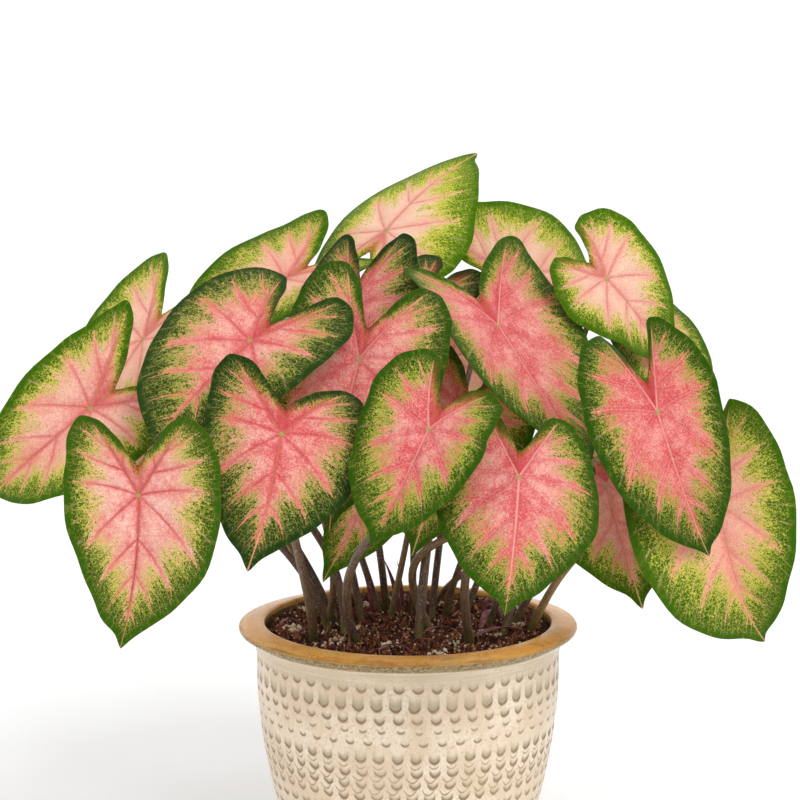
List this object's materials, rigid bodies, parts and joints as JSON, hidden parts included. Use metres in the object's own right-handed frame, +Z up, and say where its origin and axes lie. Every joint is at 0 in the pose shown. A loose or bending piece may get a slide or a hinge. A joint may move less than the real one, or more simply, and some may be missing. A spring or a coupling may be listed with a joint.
{
  "type": "potted caladium",
  "caption": "Leafy house plant with heart-shaped pink and green blades on slim stalks, standing in soil in a round glazed stoneware pot with a rolled rim.",
  "frame": {"origin": "centre of the pot's flat underside", "axes": "+Z up through the pot, -Y towards the side with the most leaves, which is the front, and +X to the right seen from the front"},
  "size_m": [0.5363, 0.5119, 0.5146],
  "materials": {
    "leaf_blade": "satin",
    "leaf_stalk": "satin",
    "sheath": "satin",
    "soil": "matt",
    "stoneware": "gloss"
  },
  "bodies": {
    "root": {"blade_front_left": "leaf_blade", "stalk_front_left": "leaf_stalk", "blade_front_mid_left": "leaf_blade", "stalk_front_mid_left": "leaf_stalk", "blade_front_mid": "leaf_blade", "stalk_front_mid": "leaf_stalk", "blade_front_mid_right": "leaf_blade", "stalk_front_mid_right": "leaf_stalk", "blade_front_right": "leaf_blade", "stalk_front_right": "leaf_stalk", "blade_shoulder_left": "leaf_blade", "stalk_shoulder_left": "leaf_stalk", "blade_far_left": "leaf_blade", "stalk_far_left": "leaf_stalk", "blade_centre_left": "leaf_blade", "stalk_centre_left": "leaf_stalk", "blade_centre_right": "leaf_blade", "stalk_centre_right": "leaf_stalk", "blade_centre_tall": "leaf_blade", "stalk_centre_tall": "leaf_stalk", "blade_centre_small": "leaf_blade", "stalk_centre_small": "leaf_stalk", "blade_back_left": "leaf_blade", "stalk_back_left": "leaf_stalk", "blade_upper_left": "leaf_blade", "stalk_upper_left": "leaf_stalk", "blade_top": "leaf_blade", "stalk_top": "leaf_stalk", "blade_upper_back_right": "leaf_blade", "stalk_upper_back_right": "leaf_stalk", "blade_upper_right": "leaf_blade", "stalk_upper_right": "leaf_stalk", "blade_back_right": "leaf_blade", "stalk_back_right": "leaf_stalk", "blade_far_right": "leaf_blade", "stalk_far_right": "leaf_stalk", "blade_low_right": "leaf_blade", "stalk_low_right": "leaf_stalk", "blade_under_left": "leaf_blade", "stalk_under_left": "leaf_stalk", "blade_under_mid": "leaf_blade", "stalk_under_mid": "leaf_stalk", "blade_rear_left": "leaf_blade", "stalk_rear_left": "leaf_stalk", "blade_rear_mid_left": "leaf_blade", "stalk_rear_mid_left": "leaf_stalk", "blade_rear_mid": "leaf_blade", "stalk_rear_mid": "leaf_stalk", "blade_rear_mid_right": "leaf_blade", "stalk_rear_mid_right": "leaf_stalk", "blade_rear_right": "leaf_blade", "stalk_rear_right": "leaf_stalk", "sheath_spear_left": "sheath", "sheath_spear_mid": "sheath", "sheath_spear_right": "sheath", "soil": "soil", "pot": "stoneware"}
  },
  "joints": []
}
